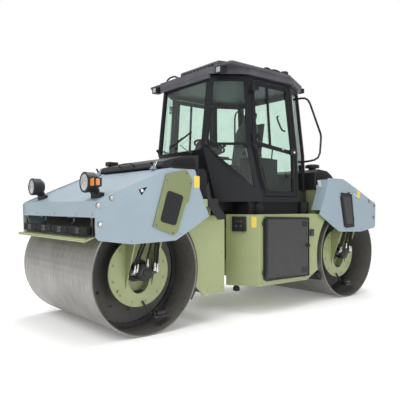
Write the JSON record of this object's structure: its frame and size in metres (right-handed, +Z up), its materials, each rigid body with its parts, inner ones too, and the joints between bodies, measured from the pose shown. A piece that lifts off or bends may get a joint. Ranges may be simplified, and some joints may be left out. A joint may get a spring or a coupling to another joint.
{
  "type": "tandem road roller",
  "caption": "Articulated tandem road roller: smooth steel drums on two frames joined by a steering and oscillating centre joint, a glazed cab, doors, hood and lid that open.",
  "frame": {"origin": "on the ground under the centre joint's steering axis, midway between the two drum axles", "axes": "+X to the machine's left, +Y towards its rear, +Z up"},
  "size_m": [1.842, 4.61, 3.03],
  "materials": {
    "olive_paint": "satin olive-green paint",
    "panel_olive": "satin darker olive paint",
    "blue_grey_paint": "satin blue-grey paint",
    "cab_paint": "satin anthracite paint",
    "roof_plastic": "matte dark grey",
    "black_plastic": "matte black",
    "black_paint": "satin black paint",
    "drum_steel": "brushed rolled steel",
    "dark_steel": "dark machined steel",
    "lamp_lens": "clear lens in a black housing",
    "seat_fabric": "dark woven fabric",
    "tinted_glass": "green-tinted safety glass"
  },
  "bodies": {
    "rear_body": {"rear_frame": "olive_paint", "rear_shell": "blue_grey_paint", "engine_block": "dark_steel", "rear_fork_left": "olive_paint", "rear_fork_right": "olive_paint", "rear_motor_left": "black_paint", "rear_motor_right": "black_paint", "rear_inner_scraper": "black_paint", "rear_scraper_tray": "olive_paint", "rear_scraper_blades": "dark_steel", "rear_grille_left": "black_paint", "rear_grille_right": "black_paint", "control_box": "black_plastic", "cab_base": "black_paint", "cab_frame": "cab_paint", "cab_roof": "roof_plastic", "front_glass": "tinted_glass", "rear_glass": "tinted_glass", "front_corner_glass_left": "tinted_glass", "front_corner_glass_right": "tinted_glass", "rear_corner_glass_left": "tinted_glass", "rear_corner_glass_right": "tinted_glass", "work_light_left": "lamp_lens", "work_light_right": "lamp_lens", "roof_unit": "roof_plastic", "handrail_left": "black_paint", "handrail_right": "black_paint", "seat_base": "black_plastic", "seat_cushion": "seat_fabric", "seat_back": "seat_fabric", "steering_console": "black_plastic"},
    "knuckle": {"knuckle": "dark_steel"},
    "front_body": {"front_frame": "olive_paint", "front_shell": "blue_grey_paint", "front_fork_left": "olive_paint", "front_fork_right": "olive_paint", "front_motor_left": "black_paint", "front_motor_right": "black_paint", "front_inner_scraper": "black_paint", "front_scraper_tray": "olive_paint", "front_scraper_blades": "dark_steel", "front_grille_left": "panel_olive", "front_grille_right": "panel_olive", "headlight_left": "black_plastic", "headlight_right": "black_plastic", "water_tank": "black_plastic", "front_cover": "roof_plastic"},
    "front_drum": {"front_drum": "drum_steel"},
    "rear_drum": {"rear_drum": "drum_steel"},
    "front_lid": {"front_lid": "black_plastic"},
    "engine_hood": {"engine_hood": "black_plastic"},
    "door_left": {"door_left": "cab_paint", "door_glass_left": "tinted_glass"},
    "door_right": {"door_right": "cab_paint", "door_glass_right": "tinted_glass"},
    "radiator_door": {"radiator_door": "black_paint"},
    "service_door": {"service_door": "olive_paint"},
    "steering_barrel": {"steering_barrel": "black_paint"},
    "steering_rod": {"steering_rod": "dark_steel"}
  },
  "joints": [
    {"name": "steering", "type": "hinge", "parent": "rear_body", "child": "knuckle", "pos_m": [0, 0, 0.75], "axis": [0, 0, 1], "range_deg": [-35, 35]},
    {"name": "oscillation", "type": "hinge", "parent": "knuckle", "child": "front_body", "pos_m": [0, -0.2, 0.75], "axis": [0, 1, 0], "range_deg": [-8, 8]},
    {"name": "front_drum_spin", "type": "hinge", "parent": "front_body", "child": "front_drum", "pos_m": [0, -1.64, 0.6], "axis": [1, 0, 0], "continuous": true},
    {"name": "rear_drum_spin", "type": "hinge", "parent": "rear_body", "child": "rear_drum", "pos_m": [0, 1.64, 0.6], "axis": [1, 0, 0], "continuous": true},
    {"name": "door_left_hinge", "type": "hinge", "parent": "rear_body", "child": "door_left", "pos_m": [0.826, -0.19, 1.3], "axis": [0, 0, -1], "range_deg": [0, 85]},
    {"name": "door_right_hinge", "type": "hinge", "parent": "rear_body", "child": "door_right", "pos_m": [-0.826, -0.19, 1.3], "axis": [0, 0, 1], "range_deg": [0, 85]},
    {"name": "radiator_door_hinge", "type": "hinge", "parent": "rear_body", "child": "radiator_door", "pos_m": [0.869, -0.078, 0.75], "axis": [0, 0, -1], "range_deg": [0, 60]},
    {"name": "service_door_hinge", "type": "hinge", "parent": "rear_body", "child": "service_door", "pos_m": [-0.869, -0.078, 0.75], "axis": [0, 0, 1], "range_deg": [0, 60]},
    {"name": "engine_hood_hinge", "type": "hinge", "parent": "rear_body", "child": "engine_hood", "pos_m": [0, 2.03, 1.3203], "axis": [-1, 0, 0], "range_deg": [0, 55]},
    {"name": "front_lid_hinge", "type": "hinge", "parent": "front_body", "child": "front_lid", "pos_m": [0, -0.895, 1.785], "axis": [-1, 0, 0], "range_deg": [0, 60]},
    {"name": "steering_cylinder_swing", "type": "hinge", "parent": "rear_body", "child": "steering_barrel", "pos_m": [-0.17, 0.57, 0.65], "axis": [0, 0, 1], "range_deg": [-2, 2]},
    {"name": "steering_rod_slide", "type": "slide", "parent": "steering_barrel", "child": "steering_rod", "axis": [0, 1, 0], "range_m": [-0.104, 0.104]}
  ],
  "couplings": [
    {"joint": "steering_rod_slide", "follows": "steering", "m_per_rad": -0.17}
  ]
}
